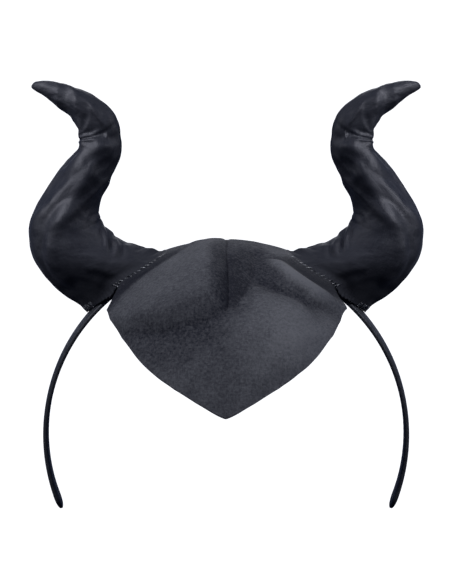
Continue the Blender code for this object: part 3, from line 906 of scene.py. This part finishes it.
THREAD_RADIUS = 0.27 * MM
HEM_STITCH_REACH = 0.7 * MM
HEM_STITCH_TOP = 2.3 * MM
HEM_STITCH_LEAN = np.radians(3.4)
HEM_STITCH_ARCH = 0.40 * MM
HEM_STITCH_SINK = (0.85, 1.0)
HEM_STITCH_SEED = 3
STITCH_STEPS = 9
STITCH_SIDES = 8
STITCH_BLUNTNESS = 6
STITCH_CROSSING = np.array((0.31, 0.17, 0.93))
DART_STITCHES = 15
DART_STITCH_START = 13.0 * MM
DART_STITCH_COLUMNS = (6, 0)
DART_THREAD_RADIUS = 0.26 * MM
DART_STITCH_ARCH = 0.75 * MM
DART_STITCH_SINK = 0.3
# The thread's black, and the pale colour of the glints painted on it
HEM_THREAD_AND_GLINT = ((0.003, 0.004, 0.006), (0.085, 0.090, 0.100))
DART_THREAD_AND_GLINT = ((0.012, 0.013, 0.016), (0.230, 0.235, 0.245))

# How unevenly the hem is sewn: shares of a stitch's place, of its reach and of its height
UNEVEN_PLACE = (-0.16, 0.16)
UNEVEN_REACH = (0.7, 1.25)
UNEVEN_TOP = (0.85, 1.12)


def tubes(paths, radius):
    """Round threads along many paths: a circle square to each path's run, drawn to a point at both ends."""
    run = np.gradient(paths, axis=1)
    run /= np.linalg.norm(run, axis=-1, keepdims=True)
    side = np.cross(run, STITCH_CROSSING)
    side /= np.linalg.norm(side, axis=-1, keepdims=True)
    other = np.cross(run, side)
    turn = (FULL_TURN * np.arange(STITCH_SIDES) / STITCH_SIDES)[:, None]
    share = np.linspace(-1.0, 1.0, paths.shape[1])
    wide = radius * np.sqrt(1.0 - share**STITCH_BLUNTNESS)[:, None, None]
    spoke = side[:, :, None] * np.cos(turn) + other[:, :, None] * np.sin(turn)
    points = paths[:, :, None] + spoke * wide
    count, steps = paths.shape[:2]
    faces = grid_faces(steps, STITCH_SIDES, around=True)
    offsets = np.arange(count)[:, None, None] * steps * STITCH_SIDES
    return points, (faces[None] + offsets).reshape(-1, 4)


def hem_paths():
    """Stitches at even turns round the hem, each a little off. One comes out of the felt past the hem's rim,
    leans as it crosses the turned-out hem in half a sine wave, and sinks into the horn."""
    draw = np.random.default_rng(HEM_STITCH_SEED)
    turn = FULL_TURN * (np.arange(HEM_STITCHES) + draw.uniform(*UNEVEN_PLACE, HEM_STITCHES)) / HEM_STITCHES
    past = hem_spread(turn) + HEM_STITCH_REACH * draw.uniform(*UNEVEN_REACH, HEM_STITCHES)
    across, fore = hem_place(turn, rim_share(turn, past))
    on_felt = horn_floor(across, fore) > panel_top() - 0.2 * SEAM_GAP
    on_band = np.abs(fore) * HEAD[1] < 0.5 * BAND_WIDTH - HEM_STITCH_REACH
    foot = on_head(across, fore, horn_floor(across, fore))
    skin = horn_grid_points[HORN_FLOOR_RINGS:-1]
    share = np.linspace(0.0, 1.0, STITCH_STEPS - 1)[None, :]
    top = HEM_STITCH_TOP * draw.uniform(*UNEVEN_TOP, HEM_STITCHES) / HORN_LENGTH * HORN_LOOPS
    side = (turn[:, None] + HEM_STITCH_LEAN * share) / FULL_TURN * HORN_SIDES
    over = read_grid(skin, top[:, None] * share, side)
    outward = foot - hem_point(turn, 0.0)
    outward /= np.linalg.norm(outward, axis=-1, keepdims=True)
    away = 0.7 * (outward + np.array((0.0, 0.0, 1.0)))[:, None]
    arch = 0.5 + np.sin(np.pi * share) - 2.0 * smooth_step(*HEM_STITCH_SINK, share)
    paths = np.concatenate((foot[:, None], over + away * HEM_STITCH_ARCH * arch[..., None]), axis=1)
    return paths[on_felt | on_band]


def dart_paths():
    """Small slanted stitches over the dart: straight lines across its groove, arched as half a sine wave."""
    downs = np.linspace(DART_STITCH_START, FELT_POINTS["dart end"][1] * MM, DART_STITCHES)[:, None]
    rows = (PANEL_ROWS * (downs + 0.5 * BAND_WIDTH) / (PANEL_REACH + 0.5 * BAND_WIDTH)).astype(int)
    before, behind = DART_STITCH_COLUMNS
    left = felt_face[rows - 1, PANEL_COLUMNS // 2 - before]
    right = felt_face[rows + 1, PANEL_COLUMNS // 2 + behind]
    share = np.linspace(0.0, 1.0, STITCH_STEPS)[None, :, None]
    path = left + (right - left) * share
    outward = path + np.array((0.0, 0.0, HEAD[2]))
    outward /= np.linalg.norm(outward, axis=-1, keepdims=True)
    arch = (1.0 + DART_STITCH_SINK) * np.sin(np.pi * share) - DART_STITCH_SINK
    return path + outward * DART_STITCH_ARCH * arch


def thread_finish(name, shades):
    """Shiny twisted thread, with the twist in its colour, bump and gloss, and glints painted on as pale
    patches of its colour.
    """
    coat = {"Coat_Weight": 0.35, "Coat_Roughness": 0.15}
    finish = Finish(name, Specular_IOR_Level=0.7, Specular_Tint=COOL_TINT, **coat)
    twist = finish.noise(finish.place(), 3200.0, detail=1.0)
    # Painted glints: patches of the thread turn pale
    painted_glint = finish.ramp(finish.noise(finish.place(), 520.0, detail=1.0), (0.44, 0.0), (0.60, 1.0))
    finish.wire(Base_Color=finish.mix(painted_glint * (0.5 + twist), *shades))
    finish.wire(Roughness=0.24 + twist * 0.2)
    finish.wire(Normal=finish.relief(twist, 0.00015))
    return finish.material


thread = thread_finish("hem_thread", HEM_THREAD_AND_GLINT)
dart_thread = thread_finish("dart_thread", DART_THREAD_AND_GLINT)
hems = {}
for name, side in BOTH_HORNS:
    points, faces = tubes(hem_paths() * np.array((side, 1.0, 1.0)), THREAD_RADIUS)
    stitches = make_piece(name + "_hem_stitches", points, faces, thread)
    hems[name] = stitches
points, faces = tubes(dart_paths(), DART_THREAD_RADIUS)
dart = make_piece("dart_stitches", points, faces, dart_thread)


# Studio
# A white seamless paper sweep under and behind the headpiece, with soft boxes round it. Each horn is
# lit from its own outer side. The camera stands where the photograph's did, with a longer lens.

SWEEP_FLOOR = -1.20
SWEEP_RADIUS = 3.6
SWEEP_CURVE = 1.2
SWEEP_WALL = 5.0
SWEEP_RINGS = 12
SWEEP_BENDS = 25
SWEEP_SIDES = 96
PAPER_GLOW = 0.97
PAPER_SHADES = ((0.86, 0.86, 0.86), (0.90, 0.90, 0.90))
CAMERA_PLACE = Vector((0.0032, -1.854, -0.1156))
CAMERA_LENS = 273.0
CAMERA_SENSOR = 36.0

# The air's glow: from and to which upward direction, from and to which strength, and its colour
WORLD_GLOW = (-0.7, 0.3, 0.03, 0.15)
WORLD_COLOUR = (0.36, 0.50, 1.0, 1.0)

# Boxes for each horn: name, degrees outwards from the camera and above it, size, power, and how
# many they light of the horn, its stitches, the band and the paper
HORN_BOXES = (
    ("box", 42.0, 38.0, 0.9, 40.0, 4),
    ("low_box", 66.0, 4.0, 0.7, 4.5, 1),
    ("fill", -78.0, 26.0, 1.2, 11.0, 2),
)


def sweep_points():
    """A flat disc that turns up through a quarter circle into a round wall, turned about the middle."""
    flat = np.linspace(0.0, SWEEP_RADIUS, SWEEP_RINGS)[:-1]
    bend = np.linspace(0.0, 0.5 * np.pi, SWEEP_BENDS)
    wall = (SWEEP_RADIUS + SWEEP_CURVE,)
    radius = np.concatenate((flat, SWEEP_RADIUS + SWEEP_CURVE * np.sin(bend), wall))
    height = np.concatenate((0.0 * flat, SWEEP_CURVE * (1.0 - np.cos(bend)), (SWEEP_WALL,)))
    turn = FULL_TURN * np.arange(SWEEP_SIDES)[None, :] / SWEEP_SIDES
    x, y = radius[:, None] * np.cos(turn), radius[:, None] * np.sin(turn)
    return np.stack(np.broadcast_arrays(x, y, SWEEP_FLOOR + height[:, None]), axis=-1)


def soft_box(name, turn, rise, size, power, lit=(), away=2.0):
    """A square light aimed at the headpiece, from degrees right of the camera and above it, as a direction on
    a ball. It lights only the pieces in lit, or all if there are none."""
    light = bpy.data.lights.new(name, "AREA")
    light.shape, light.size, light.energy = "SQUARE", size, power
    box = placed(name, light)
    turn, rise = np.radians(turn), np.radians(rise)
    place = Vector((np.sin(turn) * np.cos(rise), -np.cos(turn) * np.cos(rise), np.sin(rise)))
    box.location = place * away
    box.rotation_euler = (-place).to_track_quat("-Z", "Y").to_euler()
    box.visible_camera = False
    if lit:
        receivers = bpy.data.collections.new(name + "_lights")
        for piece in lit:
            receivers.objects.link(piece)
        box.light_linking.receiver_collection = receivers


points = sweep_points()
mesh = bpy.data.meshes.new("paper_sweep")
mesh.from_pydata(points.reshape(-1, 3).tolist(), [], grid_faces(*points.shape[:2], around=True).tolist())
mesh.shade_smooth()
paper = Finish("white_paper", Roughness=0.9, Specular_IOR_Level=0.1, Emission_Strength=PAPER_GLOW)
fibres = paper.noise(paper.place(), 60.0)
paper.wire(Base_Color=paper.mix(fibres, *PAPER_SHADES))
paper.shader.inputs["Emission Color"].default_value = (1.0, 1.0, 1.0, 1.0)
mesh.materials.append(paper.material)
sweep = placed("paper_sweep", mesh)
sweep.visible_glossy = False
sweep.visible_diffuse = False
sweep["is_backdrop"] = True

for kind, outwards, rise, size, power, count in HORN_BOXES:
    for name, horn, side in (("left_", "horn_right", -1.0), ("right_", "horn_left", 1.0)):
        lit = [horns[horn], hems[horn], headband, sweep][:count]
        soft_box(name + kind, side * outwards, rise, size, power, lit)
soft_box("high_box", -62.0, 46.0, 0.5, 25.0, [panel, dart])
soft_box("front_box", 46.0, 8.0, 0.5, 15.0, [panel, dart])
soft_box("top_box", 0.0, 75.0, 1.2, 1.0, away=1.9)
soft_box("back_box", 180.0, 34.0, 1.3, 9.0)

world = bpy.data.worlds.new("studio")
world.use_nodes = True
nodes, links = world.node_tree.nodes, world.node_tree.links
toward = nodes.new("ShaderNodeTexCoord")
upright = nodes.new("ShaderNodeSeparateXYZ")
glow = nodes.new("ShaderNodeMapRange")
for socket, value in zip(("From Min", "From Max", "To Min", "To Max"), WORLD_GLOW):
    glow.inputs[socket].default_value = value
links.new(toward.outputs["Generated"], upright.inputs["Vector"])
links.new(upright.outputs["Z"], glow.inputs["Value"])
links.new(glow.outputs["Result"], nodes["Background"].inputs["Strength"])
nodes["Background"].inputs["Color"].default_value = WORLD_COLOUR
bpy.context.scene.world = world
bpy.context.scene.view_settings.view_transform = "Standard"

low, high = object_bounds()
lens = bpy.data.cameras.new("camera")
lens.lens, lens.sensor_width = CAMERA_LENS, CAMERA_SENSOR
camera = placed("camera", lens)
camera.location = CAMERA_PLACE
aim = Vector((0.0, 0.5 * (low[1] + high[1]), 0.5 * (low[2] + high[2]))) - CAMERA_PLACE
camera.rotation_euler = aim.to_track_quat("-Z", "Y").to_euler()
bpy.context.scene.camera = camera
